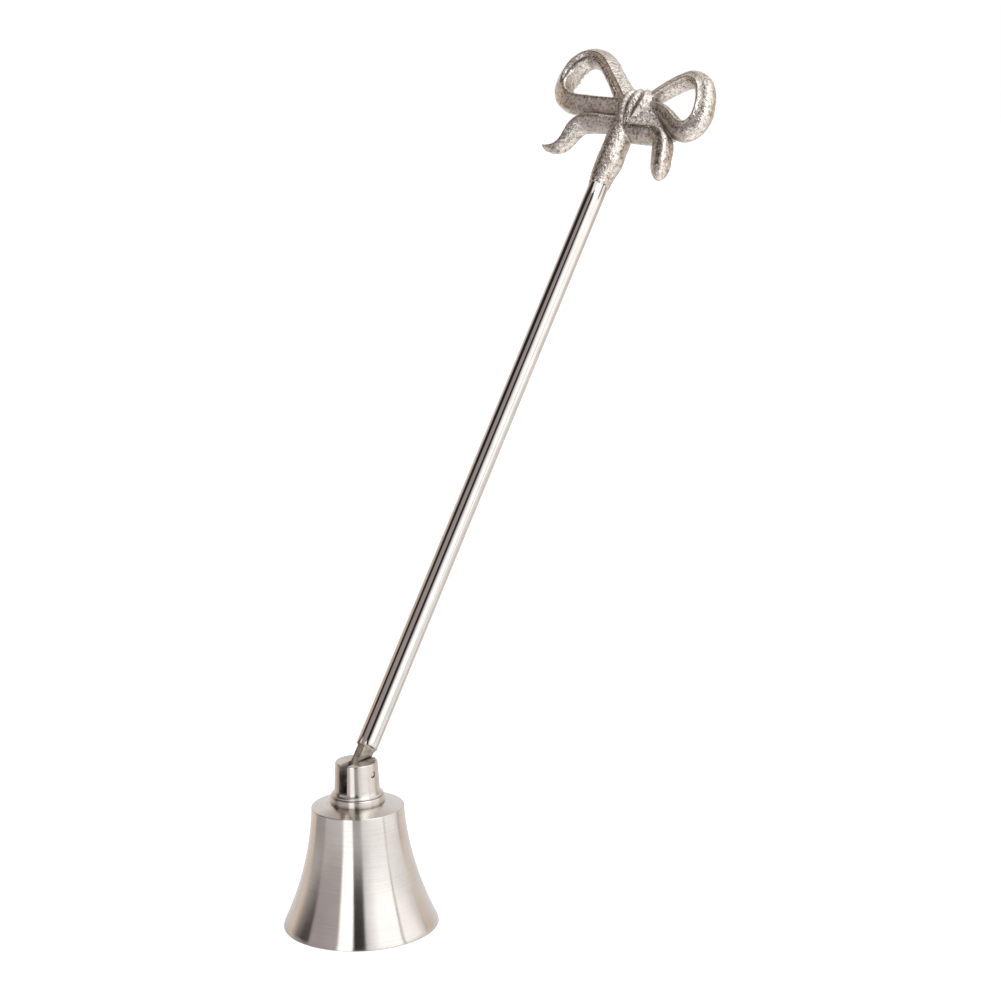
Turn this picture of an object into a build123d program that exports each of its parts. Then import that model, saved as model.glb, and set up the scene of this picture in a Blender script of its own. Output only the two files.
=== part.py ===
from build123d import *
from math import cos, radians, sin, sqrt
import os

# Candle snuffer in millimetres. +Z runs up the bell's axis and the origin is the centre of its rim.
# The handle is hinged on a pin along Y, and leans towards +X in the rest pose.

# Bell: a thick-walled trumpet with a nearly flat crown
rim_radius = 21.5
waist_radius = 15.25
shoulder_radius = 12.65
flare_height = 33.7
crown_rise = 1.1
crown_thickness = 5.5
lip_wall = 3.0
waist_wall = 5.0
shoulder_wall = 5.1
rim_chamfer = 0.3
shoulder_chamfer = 0.2
flare_steps = 6
cavity_steps = 3

# Seat collar between the bell and the hinge post
collar_radius = 7.45
collar_height = 2.2
collar_chamfer = 0.4

# Hinge post: a slotted round post with a flared foot and a threaded stud below
post_top_radius = 5.77
post_base_radius = 6.15
post_height = 9.3
post_chamfer = 0.25
foot_radius = 7.05
foot_lip = 0.35
foot_rise = 1.9
slot_width = 2.5
slot_floor = 1.25
stud_radius = 2.5
stud_clearance = 0.1
stud_proud = 0.6

# Hinge pin, pressed into the post's ears and free in the handle's eye
pin_radius = 0.8
pin_rise = 6.45
pin_fit = 0.01
eye_clearance = 0.05

# Washer and nut under the crown
washer_radius = 5.0
washer_thickness = 0.8
nut_width = 8.0
nut_height = 3.2
nut_fit = 0.01

# Handle rod: a round bar with a flattened eye end and a spigot at the top
rod_radius = 3.0
rod_length = 191.15
tang_length = 7.2
tang_clearance = 0.1
spigot_radius = 1.9
spigot_length = 8.0
spigot_clearance = 0.05
spigot_end_gap = 0.5
rest_lean = 37.7

# Bow finial: one casting with a socket stem, a knot, two loops and two tails
stem_mouth_radius = 3.1
stem_belly_radius = 3.85
stem_top_radius = 3.9
stem_belly_height = 7.5
stem_length = 25.5
knot_rise = 27.5
knot_radius = 5.6
knot_waist_radius = 5.1
knot_length = 9.4
knot_tilt = -12.0
bow_span = 28.8
ribbon_width = 6.4
loop_thickness = 5.3
left_tail_thickness = 4.4
right_tail_thickness = 5.5
web_thickness = 4.0
web_recess = 1.6
knot_turns = 3

# Middle lines of the loops in shares of the bow's span: the upper arm's root, the upper and lower corners
# and the lower arm's root, with the corner radii. The two arms meet on the line between the corners.
left_loop_shares = [(0.03, 0.064), (-0.88, 0.875), (-0.992, 0.06), (0.05, 0.045)]
left_loop_radius_shares = [0.19, 0.27]
left_meet_share = 0.53
right_loop_shares = [(0.155, -0.085), (0.915, 0.98), (0.915, -0.47), (0.14, 0.142)]
right_loop_radius_shares = [0.29, 0.21]
right_meet_share = 0.66

# Middle lines of the tails, from the knot out, with their corner radii
left_tail_shares = [(0.07, -0.14), (-0.57, -0.125), (-0.6, -0.497), (-0.9, -0.49)]
left_tail_radius_shares = [0.13, 0.17]
right_tail_shares = [(0.07, -0.245), (0.545, -0.302), (0.682, -0.82)]
right_tail_radius_shares = [0.14]
knot_place_shares = (0.09, 0.015)

# Webs of the casting, set back from its front: in the crotch of the left loop, between the left loop and the
# left tail, and between the right loop and the right tail
web_shares = [
    [(-0.05, 0.08), (-0.265, 0.1), (-0.265, 0.235), (-0.18, 0.2)],
    [(0, 0), (-0.62, 0), (-0.62, -0.11), (0, -0.11)],
    [(0.12, 0), (0.32, 0), (0.62, -0.24), (0.64, -0.35), (0.5, -0.27), (0.12, -0.22)],
]

# Half of a ribbon's section in shares of its width and thickness, and how the section tapers:
# place along the line, width and thickness in shares of the full ones
ribbon_edge_shares = [(0.5, 0.22), (0.28, 0.5), (-0.28, 0.5), (-0.5, 0.22)]
loop_taper_shares = [(0, 0.85, 0.8), (1, 1, 1)]
left_tail_taper_shares = [(0, 1, 1.05), (0.5, 1, 0.95), (1, 0.62, 0.25)]
right_tail_taper_shares = [(0, 1, 1.35), (0.5, 1, 1.1), (1, 0.8, 0.75)]

# One overrun for every cut that runs past a face
overrun = 1.0

# Heights along the bell's axis
seat_height = flare_height + crown_rise
crown_underside = seat_height - crown_thickness
collar_top = seat_height + collar_height
post_top = collar_top + post_height
pin_height = collar_top + pin_rise
nut_top = crown_underside - washer_thickness
stud_end = nut_top - nut_height - stud_proud

# Radii that the walls and fits give. A pull radius draws the bell's curve through its waist.
lip_radius = rim_radius - lip_wall
cavity_radius = shoulder_radius - shoulder_wall
cavity_waist_radius = waist_radius - waist_wall
flare_pull_radius = 2 * waist_radius - (rim_radius + shoulder_radius) / 2
cavity_pull_radius = 2 * cavity_waist_radius - (lip_radius + cavity_radius) / 2
stud_hole_radius = stud_radius + stud_clearance
socket_radius = spigot_radius + spigot_clearance
tang_thickness = slot_width - 2 * tang_clearance

# Planes of the leaning handle: across the rod at the pin, through the eye, and of the bow
lean = radians(rest_lean)
pin_point = Vector(0, 0, pin_height)
rod_direction = Vector(sin(lean), 0, cos(lean))
front_direction = Vector(-cos(lean), 0, sin(lean))
rod_plane = Plane(origin=pin_point, x_dir=(0, -1, 0), z_dir=rod_direction)
eye_plane = Plane(origin=pin_point, x_dir=front_direction, z_dir=(0, 1, 0))
joint_point = pin_point + rod_direction * rod_length
stem_plane = Plane(origin=joint_point, x_dir=(0, -1, 0), z_dir=front_direction)
bow_plane = Plane(origin=joint_point + rod_direction * knot_rise, x_dir=(0, -1, 0), z_dir=front_direction)

os.makedirs("parts", exist_ok=True)


def in_bow(shares):
    """Turns places given in shares of the bow's span into lengths on the bow's plane."""
    return [(across * bow_span, along * bow_span) for across, along in shares]


def turned_curve(start, pull, end, steps):
    """Points of a turned profile: a parabola from start to end that is drawn towards pull."""
    points = []
    for step in range(steps + 1):
        share = step / steps
        points.append(
            tuple(
                a * (1 - share) ** 2 + 2 * b * share * (1 - share) + c * share**2
                for a, b, c in zip(start, pull, end)
            )
        )
    return points


# Bell
with BuildPart() as bell:
    with BuildSketch(Plane.XZ):
        with BuildLine():
            Line((lip_radius, 0), (rim_radius, 0))
            Polyline(
                *turned_curve(
                    (rim_radius, 0),
                    (flare_pull_radius, flare_height / 2),
                    (shoulder_radius, flare_height),
                    flare_steps,
                ),
                (collar_radius, seat_height),
                (stud_hole_radius, seat_height),
                (stud_hole_radius, crown_underside),
                *turned_curve(
                    (cavity_radius, crown_underside),
                    (cavity_pull_radius, crown_underside / 2),
                    (lip_radius, 0),
                    cavity_steps,
                ),
            )
        make_face()
    revolve(axis=Axis.Z)
    rings = bell.edges().filter_by(GeomType.CIRCLE)
    rim_edge = rings.group_by(Axis.Z)[0].sort_by(SortBy.RADIUS)[-1]
    shoulder_edge = rings.group_by(Axis.Z)[-2].sort_by(SortBy.RADIUS)[-1]
    chamfer(rim_edge, length=rim_chamfer)
    chamfer(shoulder_edge, length=shoulder_chamfer)
bell.part.label = "bell"
export_step(bell.part, "parts/bell.step")

# Seat collar
with BuildPart() as seat_collar:
    with BuildSketch(Plane.XY.offset(seat_height)):
        Circle(collar_radius)
        Circle(stud_hole_radius, mode=Mode.SUBTRACT)
    extrude(amount=collar_height)
    upper_ring = seat_collar.faces().sort_by(Axis.Z)[-1].edges().sort_by(SortBy.RADIUS)[-1]
    chamfer(upper_ring, length=collar_chamfer)
seat_collar.part.label = "seat_collar"
export_step(seat_collar.part, "parts/seat_collar.step")

# Hinge post
with BuildPart() as hinge_post:
    with BuildSketch(Plane.XZ):
        with BuildLine():
            Polyline(
                (0, post_top),
                (0, stud_end),
                (stud_radius, stud_end),
                (stud_radius, collar_top),
                (foot_radius, collar_top),
                (foot_radius, collar_top + foot_lip),
            )
            side = Line((post_top_radius, post_top), (post_base_radius, collar_top + foot_rise))
            Line(side @ 1, (foot_radius, collar_top + foot_lip))
            Line((0, post_top), (post_top_radius, post_top))
        make_face()
    revolve(axis=Axis.Z)
    chamfer(hinge_post.faces().sort_by(Axis.Z)[-1].edges(), length=post_chamfer)
    with BuildSketch(Plane.XY.offset(collar_top + slot_floor)):
        Rectangle(2 * foot_radius + overrun, slot_width)
    extrude(amount=post_height, mode=Mode.SUBTRACT)
    with BuildSketch(eye_plane):
        Circle(pin_radius + pin_fit)
    extrude(amount=foot_radius, both=True, mode=Mode.SUBTRACT)
hinge_post.part.label = "hinge_post"
export_step(hinge_post.part, "parts/hinge_post.step")

# Hinge pin, flush with the post on both sides
with BuildPart() as hinge_pin:
    with BuildSketch(eye_plane):
        Circle(pin_radius)
    extrude(amount=sqrt(post_top_radius**2 - pin_radius**2), both=True)
hinge_pin.part.label = "hinge_pin"
export_step(hinge_pin.part, "parts/hinge_pin.step")

# Washer under the crown
with BuildPart() as crown_washer:
    with BuildSketch(Plane.XY.offset(nut_top)):
        Circle(washer_radius)
        Circle(stud_hole_radius, mode=Mode.SUBTRACT)
    extrude(amount=washer_thickness)
crown_washer.part.label = "crown_washer"
export_step(crown_washer.part, "parts/crown_washer.step")

# Nut on the stud
with BuildPart() as stud_nut:
    with BuildSketch(Plane.XY.offset(nut_top)):
        RegularPolygon(radius=nut_width / 2, side_count=6, major_radius=False)
        Circle(stud_radius + nut_fit, mode=Mode.SUBTRACT)
    extrude(amount=-nut_height)
stud_nut.part.label = "stud_nut"
export_step(stud_nut.part, "parts/stud_nut.step")

# Handle rod: its lower end is flattened to a tang, rounded about the pin and drilled
with BuildPart() as handle_rod:
    with BuildSketch(rod_plane.offset(-rod_radius)):
        Circle(rod_radius)
    extrude(amount=rod_radius + rod_length)
    with BuildSketch(rod_plane.offset(-rod_radius - overrun)):
        with GridLocations(tang_thickness + 2 * rod_radius, 0, 2, 1):
            Rectangle(2 * rod_radius, 2 * rod_radius + overrun)
    extrude(amount=rod_radius + overrun + tang_length, mode=Mode.SUBTRACT)
    with BuildSketch(Plane(origin=pin_point, x_dir=(cos(lean), 0, -sin(lean)), z_dir=(0, -1, 0))):
        Rectangle(2 * rod_radius + overrun, rod_radius + overrun, align=(Align.CENTER, Align.MAX))
        Circle(rod_radius, mode=Mode.SUBTRACT)
    extrude(amount=slot_width, both=True, mode=Mode.SUBTRACT)
    with BuildSketch(eye_plane):
        Circle(pin_radius + eye_clearance)
    extrude(amount=slot_width, both=True, mode=Mode.SUBTRACT)
    with BuildSketch(rod_plane.offset(rod_length)):
        Circle(spigot_radius)
    extrude(amount=spigot_length)
handle_rod.part.label = "handle_rod"
export_step(handle_rod.part, "parts/handle_rod.step")

# Bow finial
with BuildPart() as bow_finial:
    with BuildSketch(stem_plane):
        with BuildLine():
            Polyline(
                (0, 0),
                (stem_mouth_radius, 0),
                (stem_belly_radius, stem_belly_height),
                (stem_top_radius, stem_length),
                (0, stem_length),
                close=True,
            )
        make_face()
    revolve(axis=Axis(joint_point, rod_direction))
    ribbons = [
        (left_tail_shares, left_tail_radius_shares, left_tail_thickness, left_tail_taper_shares),
        (right_tail_shares, right_tail_radius_shares, right_tail_thickness, right_tail_taper_shares),
    ]
    loops = [
        (left_loop_shares, left_loop_radius_shares, left_meet_share),
        (right_loop_shares, right_loop_radius_shares, right_meet_share),
    ]
    for loop_shares, radius_shares, meet_share in loops:
        upper_root, upper_corner, lower_corner, lower_root = loop_shares
        meeting = [
            upper * (1 - meet_share) + lower * meet_share
            for upper, lower in zip(upper_corner, lower_corner)
        ]
        upper_arm = [upper_root, upper_corner, meeting]
        lower_arm = [lower_root, lower_corner, meeting]
        ribbons.append((upper_arm, radius_shares[:1], loop_thickness, loop_taper_shares))
        ribbons.append((lower_arm, radius_shares[1:], loop_thickness, loop_taper_shares))
    for line_shares, radius_shares, thickness, taper_shares in ribbons:
        with BuildLine(bow_plane) as ribbon_line:
            FilletPolyline(*in_bow(line_shares), radius=[share * bow_span for share in radius_shares])
        ribbon_path = ribbon_line.wire()
        for place_share, width_share, thickness_share in taper_shares:
            section_plane = Plane(
                origin=ribbon_path @ place_share,
                x_dir=front_direction,
                z_dir=ribbon_path % place_share,
            )
            half = [
                (across * ribbon_width * width_share, out * thickness * thickness_share)
                for across, out in ribbon_edge_shares
            ]
            with BuildSketch(section_plane):
                with BuildLine():
                    Polyline(*half, *[(-across, -out) for across, out in half], close=True)
                make_face()
        sweep(path=ribbon_path, multisection=True)
    with BuildSketch(bow_plane.offset(-ribbon_width / 2 + web_recess / 2)):
        for corners in web_shares:
            with BuildLine():
                Polyline(*in_bow(corners), close=True)
            make_face()
    extrude(amount=web_thickness)
    knot_origin = bow_plane.from_local_coords(in_bow([knot_place_shares])[0])
    knot_plane = Plane(origin=knot_origin, x_dir=(0, -1, 0), z_dir=front_direction).rotated((0, 0, knot_tilt))
    with BuildSketch(knot_plane):
        with BuildLine():
            step = knot_length / knot_turns
            for turn in range(knot_turns):
                start = step * turn - knot_length / 2
                Polyline(
                    (start, knot_waist_radius),
                    (start + step / 2, knot_radius),
                    (start + step, knot_waist_radius),
                )
            Polyline(
                (knot_length / 2, knot_waist_radius),
                (knot_length / 2, 0),
                (-knot_length / 2, 0),
                (-knot_length / 2, knot_waist_radius),
            )
        make_face()
    revolve(axis=Axis(knot_plane.origin, knot_plane.x_dir))
    with BuildSketch(rod_plane.offset(rod_length)):
        Circle(socket_radius)
    extrude(amount=spigot_length + spigot_end_gap, mode=Mode.SUBTRACT)
bow_finial.part.label = "bow_finial"
export_step(bow_finial.part, "parts/bow_finial.step")
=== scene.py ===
from math import atan2, cos, pi, radians, sin, sqrt

import bmesh
import bpy
from mathutils import Matrix, Vector, noise


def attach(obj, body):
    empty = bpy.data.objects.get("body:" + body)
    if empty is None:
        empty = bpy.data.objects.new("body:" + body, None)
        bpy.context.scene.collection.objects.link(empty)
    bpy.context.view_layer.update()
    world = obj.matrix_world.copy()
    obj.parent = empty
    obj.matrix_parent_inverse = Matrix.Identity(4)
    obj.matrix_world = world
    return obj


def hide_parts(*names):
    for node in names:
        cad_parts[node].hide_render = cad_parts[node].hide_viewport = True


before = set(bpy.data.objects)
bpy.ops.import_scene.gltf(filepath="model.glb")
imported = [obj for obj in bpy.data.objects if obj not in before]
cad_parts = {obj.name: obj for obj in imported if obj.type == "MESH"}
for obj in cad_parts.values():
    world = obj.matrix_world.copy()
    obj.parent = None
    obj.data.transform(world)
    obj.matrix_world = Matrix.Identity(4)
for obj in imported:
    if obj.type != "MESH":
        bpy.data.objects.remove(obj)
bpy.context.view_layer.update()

scene = bpy.context.scene
MM = 0.001

# Shared frame, in metres: +Z up the bell's axis, the hinge pin along Y, the handle leaning towards +X
PIN = Vector((0, 0, 43.45)) * MM
LEAN = radians(37.7)
ROD = Vector((sin(LEAN), 0, cos(LEAN)))
FRONT = Vector((-cos(LEAN), 0, sin(LEAN)))
ACROSS = Vector((0, -1, 0))
ROD_LENGTH = 191.15
KNOT_RISE = 27.5
BOW_ORIGIN = PIN + ROD * (ROD_LENGTH + KNOT_RISE) * MM
BOW_SPAN = 28.8


# Mesh helpers
def new_object(name, vertices, faces):
    mesh = bpy.data.meshes.new(name)
    mesh.from_pydata([tuple(v) for v in vertices], [], faces)
    mesh.validate()
    obj = bpy.data.objects.new(name, mesh)
    scene.collection.objects.link(obj)
    return obj


def face_outward(obj):
    bm = bmesh.new()
    bm.from_mesh(obj.data)
    bmesh.ops.recalc_face_normals(bm, faces=bm.faces)
    bm.to_mesh(obj.data)
    bm.free()


def prism_faces(count):
    """Two ends, and the sides between them, for two rings of corners listed one after the other."""
    faces = [tuple(range(count)), tuple(range(count, 2 * count))]
    faces += [(k, (k + 1) % count, count + (k + 1) % count, count + k) for k in range(count)]
    return faces


def smooth_by_angle(obj, degrees):
    mesh = obj.data
    mesh.polygons.foreach_set("use_smooth", [True] * len(mesh.polygons))
    mesh.set_sharp_from_angle(angle=radians(degrees))
    mesh.update()


def lathe(name, profile, segments, frame_matrix=Matrix.Identity(4)):
    """Turns a list of (radius, height) in millimetres about the local Z axis.

    A list that keeps off the axis is closed.
    """
    vertices, faces, rings = [], [], []
    for radius, height in profile:
        if radius < 1e-6:
            rings.append([len(vertices)])
            vertices.append(frame_matrix @ Vector((0, 0, height * MM)))
        else:
            ring = []
            for k in range(segments):
                turn = 2 * pi * k / segments
                ring.append(len(vertices))
                point = Vector((radius * cos(turn), radius * sin(turn), height)) * MM
                vertices.append(frame_matrix @ point)
            rings.append(ring)
    closed = profile[0][0] > 1e-6 and profile[-1][0] > 1e-6
    pairs = list(zip(rings, rings[1:]))
    if closed:
        pairs.append((rings[-1], rings[0]))
    for low, high in pairs:
        for k in range(segments):
            n = (k + 1) % segments
            if len(low) == 1 and len(high) == 1:
                continue
            if len(low) == 1:
                faces.append((low[0], high[n], high[k]))
            elif len(high) == 1:
                faces.append((low[k], low[n], high[0]))
            else:
                faces.append((low[k], low[n], high[n], high[k]))
    obj = new_object(name, vertices, faces)
    face_outward(obj)
    return obj


def block(name, size, matrix):
    """A box with the given sizes in millimetres, used as a cutter."""
    bm = bmesh.new()
    bmesh.ops.create_cube(bm, size=1)
    bmesh.ops.scale(bm, vec=Vector(size) * MM, verts=bm.verts)
    bmesh.ops.transform(bm, matrix=matrix, verts=bm.verts)
    bmesh.ops.recalc_face_normals(bm, faces=bm.faces)
    mesh = bpy.data.meshes.new(name)
    bm.to_mesh(mesh)
    bm.free()
    obj = bpy.data.objects.new(name, mesh)
    scene.collection.objects.link(obj)
    return obj


def apply_modifiers(obj):
    graph = bpy.context.evaluated_depsgraph_get()
    mesh = bpy.data.meshes.new_from_object(obj.evaluated_get(graph))
    old = obj.data
    obj.modifiers.clear()
    obj.data = mesh
    bpy.data.meshes.remove(old)


def cut(obj, cutter):
    modifier = obj.modifiers.new("cut", "BOOLEAN")
    modifier.operation = "DIFFERENCE"
    modifier.solver = "EXACT"
    modifier.object = cutter
    apply_modifiers(obj)
    bpy.data.objects.remove(cutter)


def edge_break(obj, width, degrees=40, segments=2):
    """Rounds the sharp edges a little, so that they catch the light."""
    modifier = obj.modifiers.new("edge", "BEVEL")
    modifier.width = width * MM
    modifier.segments = segments
    modifier.limit_method = "ANGLE"
    modifier.angle_limit = radians(degrees)
    apply_modifiers(obj)


def parabola(start, pull, end, steps):
    """Points of a curve that leaves and arrives along the lines to the pull."""
    points = []
    for k in range(steps + 1):
        t = k / steps
        points.append(tuple(
            (1 - t) ** 2 * a + 2 * t * (1 - t) * b + t ** 2 * c for a, b, c in zip(start, pull, end)
        ))
    return points


def rounded_corner(before, corner, after, radius, steps=5):
    """Points of a small rounded corner on a turned profile."""
    corner = Vector(corner)
    back = (Vector(before) - corner).normalized()
    ahead = (Vector(after) - corner).normalized()
    return parabola(corner + back * radius, corner, corner + ahead * radius, steps)


# Bell: outside from the rim up, over the crown, and down the inside
RIM, WAIST, SHOULDER, FLARE_HEIGHT, SEAT = 21.5, 15.25, 12.65, 33.7, 34.8
LIP, CAVITY_WAIST, CAVITY, CROWN_UNDER = 18.5, 10.25, 7.55, 29.3
COLLAR, STUD_HOLE = 7.45, 2.6
RIM_SET_IN, RIM_EASE, SHOULDER_EASE, LIP_EASE = 0.12, 0.28, 0.22, 0.25
FLARE_LOW, FLARE_GAP, CAVITY_EASE = 0.6, 0.3, 0.5
FLARE_STEPS, CROWN_STEPS, CAVITY_STEPS = 72, 12, 56
FLARE_PULL = (2 * WAIST - (RIM + SHOULDER) / 2, FLARE_HEIGHT / 2)
CAVITY_PULL = (2 * CAVITY_WAIST - (LIP + CAVITY) / 2, CROWN_UNDER / 2)
flare = parabola((RIM, 0), FLARE_PULL, (SHOULDER, FLARE_HEIGHT), FLARE_STEPS)
cavity = parabola((CAVITY, CROWN_UNDER), CAVITY_PULL, (LIP, 0), CAVITY_STEPS)
bell_profile = rounded_corner((LIP, 0), (RIM - RIM_SET_IN, 0), flare[3], RIM_EASE)
bell_profile += [p for p in flare[2:-1] if FLARE_LOW < p[1] < FLARE_HEIGHT - FLARE_GAP]
bell_profile += rounded_corner(flare[-3], (SHOULDER, FLARE_HEIGHT), (COLLAR, SEAT), SHOULDER_EASE)
for k in range(1, CROWN_STEPS + 1):
    bell_profile.append((
        SHOULDER + (COLLAR - SHOULDER) * k / CROWN_STEPS,
        FLARE_HEIGHT + (SEAT - FLARE_HEIGHT) * k / CROWN_STEPS,
    ))
bell_profile += [(STUD_HOLE, SEAT), (STUD_HOLE, CROWN_UNDER), (CAVITY - CAVITY_EASE, CROWN_UNDER)]
bell_profile += cavity[1:-2]
bell_profile += rounded_corner(cavity[-3], (LIP, 0), (RIM, 0), LIP_EASE)
bell = lathe("bell_turned", bell_profile, 256)
smooth_by_angle(bell, 24)
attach(bell, "bell_body")
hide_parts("bell")

# Seat collar
COLLAR_TOP, COLLAR_SIDE, COLLAR_FOOT = 37.0, 1.0, 0.12
COLLAR_TAPER, COLLAR_DROP, COLLAR_EASE = 0.05, 0.1, 0.45
COLLAR_FLAT, COLLAR_AIM = 6.9, 6.4
collar_profile = [(STUD_HOLE, SEAT), (COLLAR - COLLAR_TAPER, SEAT)]
collar_profile += [(COLLAR, SEAT + COLLAR_FOOT), (COLLAR, SEAT + COLLAR_SIDE)]
collar_profile += rounded_corner(
    (COLLAR, SEAT + COLLAR_SIDE), (COLLAR - COLLAR_TAPER, COLLAR_TOP - COLLAR_DROP), (COLLAR_AIM, COLLAR_TOP),
    COLLAR_EASE, 6,
)
collar_profile += [(COLLAR_FLAT, COLLAR_TOP), (STUD_HOLE, COLLAR_TOP)]
collar = lathe("seat_collar_turned", collar_profile, 192)
smooth_by_angle(collar, 30)
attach(collar, "bell_body")
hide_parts("seat_collar")

# Hinge post with its stud, cut by the slot and the pin's hole
POST_TOP, POST_TOP_RADIUS, POST_BASE_RADIUS = 46.3, 5.77, 6.15
FOOT, FOOT_LIP, FOOT_RISE = 7.05, 0.35, 1.9
FOOT_PULL, FOOT_PULL_RISE, FOOT_EDGE, FOOT_EASE, FOOT_LEVEL = 0.1, 0.35, 0.3, 0.12, 0.02
STUD, STUD_END, STUD_CHAMFER = 2.5, 24.7, 0.3
SLOT_WIDTH, SLOT_FLOOR, SLOT_OFFSET = 2.8, 1.25, -0.15
POST_EASE, POST_FLAT, POST_BREAK, POST_STEPS = 0.42, 4.5, 0.07, 10
CUT = 20
post_profile = [(0, STUD_END), (STUD - STUD_CHAMFER, STUD_END)]
post_profile += [(STUD, STUD_END + STUD_CHAMFER), (STUD, COLLAR_TOP)]
post_profile += rounded_corner(
    (STUD, COLLAR_TOP), (FOOT, COLLAR_TOP + FOOT_LEVEL), (FOOT, COLLAR_TOP + FOOT_EDGE), FOOT_EASE, 3
)
post_profile += parabola(
    (FOOT, COLLAR_TOP + FOOT_LIP),
    (POST_BASE_RADIUS + FOOT_PULL, COLLAR_TOP + FOOT_LIP + FOOT_PULL_RISE),
    (POST_BASE_RADIUS, COLLAR_TOP + FOOT_RISE),
    10,
)
for k in range(1, POST_STEPS):
    share = k / POST_STEPS
    post_profile.append((
        POST_BASE_RADIUS + (POST_TOP_RADIUS - POST_BASE_RADIUS) * share,
        COLLAR_TOP + FOOT_RISE + (POST_TOP - COLLAR_TOP - FOOT_RISE) * share,
    ))
post_profile += rounded_corner(
    (POST_TOP_RADIUS, POST_TOP - 1), (POST_TOP_RADIUS, POST_TOP), (0, POST_TOP), POST_EASE, 5
)
post_profile += [(POST_FLAT, POST_TOP), (0, POST_TOP)]
post = lathe("hinge_post_turned", post_profile, 192)
slot_low = COLLAR_TOP + SLOT_FLOOR
slot_place = Matrix.Translation(Vector((0, SLOT_OFFSET, slot_low + CUT / 2)) * MM)
cut(post, block("slot_cutter", (CUT, SLOT_WIDTH, CUT), slot_place))
PIN_HOLE, PIN_HOLE_DROP, EYE_HOLE, DRILL_REACH = 0.87, -0.09, 0.85, 9
pin_matrix = Matrix.Translation(PIN) @ Matrix.Rotation(radians(90), 4, "X")
hole_matrix = Matrix.Translation(Vector((0, 0, PIN_HOLE_DROP * MM))) @ pin_matrix


def drill(name, radius, matrix):
    """A round cutter along the pin."""
    profile = [(0, -DRILL_REACH), (radius, -DRILL_REACH), (radius, DRILL_REACH), (0, DRILL_REACH)]
    return lathe(name, profile, 48, matrix)


cut(post, drill("pin_hole_cutter", PIN_HOLE, hole_matrix))
edge_break(post, POST_BREAK)
smooth_by_angle(post, 28)
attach(post, "bell_body")
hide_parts("hinge_post")

# Hinge pin with chamfered ends
PIN_RADIUS, PIN_TIP, PIN_END, PIN_EDGE, PIN_SIDE = 0.8, 0.62, 5.68, 5.66, 5.5
pin_half = [(PIN_RADIUS, PIN_SIDE), (PIN_TIP, PIN_EDGE), (0, PIN_END)]
pin_profile = [(radius, -height) for radius, height in reversed(pin_half)] + pin_half
pin = lathe("hinge_pin_turned", pin_profile, 48, pin_matrix)
smooth_by_angle(pin, 25)
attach(pin, "bell_body")
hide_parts("hinge_pin")

# Handle rod: a round bar, flattened to a tang that is rounded about the pin
rod_matrix = Matrix.Translation(PIN) @ Matrix((
    (ACROSS.x, FRONT.x, ROD.x, 0),
    (ACROSS.y, FRONT.y, ROD.y, 0),
    (ACROSS.z, FRONT.z, ROD.z, 0),
    (0, 0, 0, 1),
))
ROD_RADIUS, TANG_LENGTH, TANG, TANG_WIDE, EDGE_STEP = 3.0, 7.2, 2.3, 4.7, 0.4
ROD_EDGE, SPIGOT, SPIGOT_LENGTH, ROD_STEP, ROD_RINGS = 0.2, 1.9, 8.0, 2.0, 90
SHOULDER_RING, TANG_END, TANG_CUT, ROD_BREAK = 6.0, -3.0, 10, 0.1
rod_profile = [(0, TANG_END), (ROD_RADIUS, TANG_END), (ROD_RADIUS, SHOULDER_RING)]
rod_profile += [(ROD_RADIUS, TANG_LENGTH + ROD_STEP * k) for k in range(1, ROD_RINGS)]
rod_profile += [(ROD_RADIUS, ROD_LENGTH - ROD_EDGE), (ROD_RADIUS - ROD_EDGE, ROD_LENGTH)]
rod_profile += [(SPIGOT, ROD_LENGTH), (SPIGOT, ROD_LENGTH + SPIGOT_LENGTH - ROD_EDGE)]
rod_profile += [(SPIGOT - ROD_EDGE, ROD_LENGTH + SPIGOT_LENGTH), (0, ROD_LENGTH + SPIGOT_LENGTH)]
rod = lathe("handle_rod_turned", rod_profile, 128, rod_matrix)
tang_cutter = (TANG_CUT, TANG_CUT, 2 * TANG_CUT)
for way in (-1, 1):
    cheek = Vector((way * (TANG / 2 + TANG_CUT / 2), 0, TANG_LENGTH - TANG_CUT)) * MM
    cut(rod, block("cheek_cutter", tang_cutter, rod_matrix @ Matrix.Translation(cheek)))
    edge = Vector((0, way * (TANG_WIDE / 2 + TANG_CUT / 2), TANG_LENGTH - TANG_CUT - EDGE_STEP)) * MM
    cut(rod, block("edge_cutter", tang_cutter, rod_matrix @ Matrix.Translation(edge)))

# The tang's end is cut to a half circle about the pin
EYE, EYE_STEPS, EYE_CUT, EYE_CUT_SIDE = 2.34, 48, 12, 4
eye = [(EYE * cos(pi * k / EYE_STEPS), -EYE * sin(pi * k / EYE_STEPS)) for k in range(EYE_STEPS + 1)]
eye += [(-EYE_CUT, 0), (-EYE_CUT, -EYE_CUT), (EYE_CUT, -EYE_CUT), (EYE_CUT, 0)]
eye_vertices = []
for side in (-EYE_CUT_SIDE, EYE_CUT_SIDE):
    eye_vertices += [rod_matrix @ (Vector((side, y, z)) * MM) for y, z in eye]
eye_cutter = new_object("eye_cutter", eye_vertices, prism_faces(len(eye)))
face_outward(eye_cutter)
cut(rod, eye_cutter)
cut(rod, drill("eye_hole_cutter", EYE_HOLE, pin_matrix))
edge_break(rod, ROD_BREAK)
smooth_by_angle(rod, 28)
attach(rod, "handle")
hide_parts("handle_rod")


# Bow finial: ribbons swept along their middle lines, then fused, eased and given a cast skin
def bow_point(across, along, depth=0.0):
    return BOW_ORIGIN + (ACROSS * across + ROD * along + FRONT * depth) * MM


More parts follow.
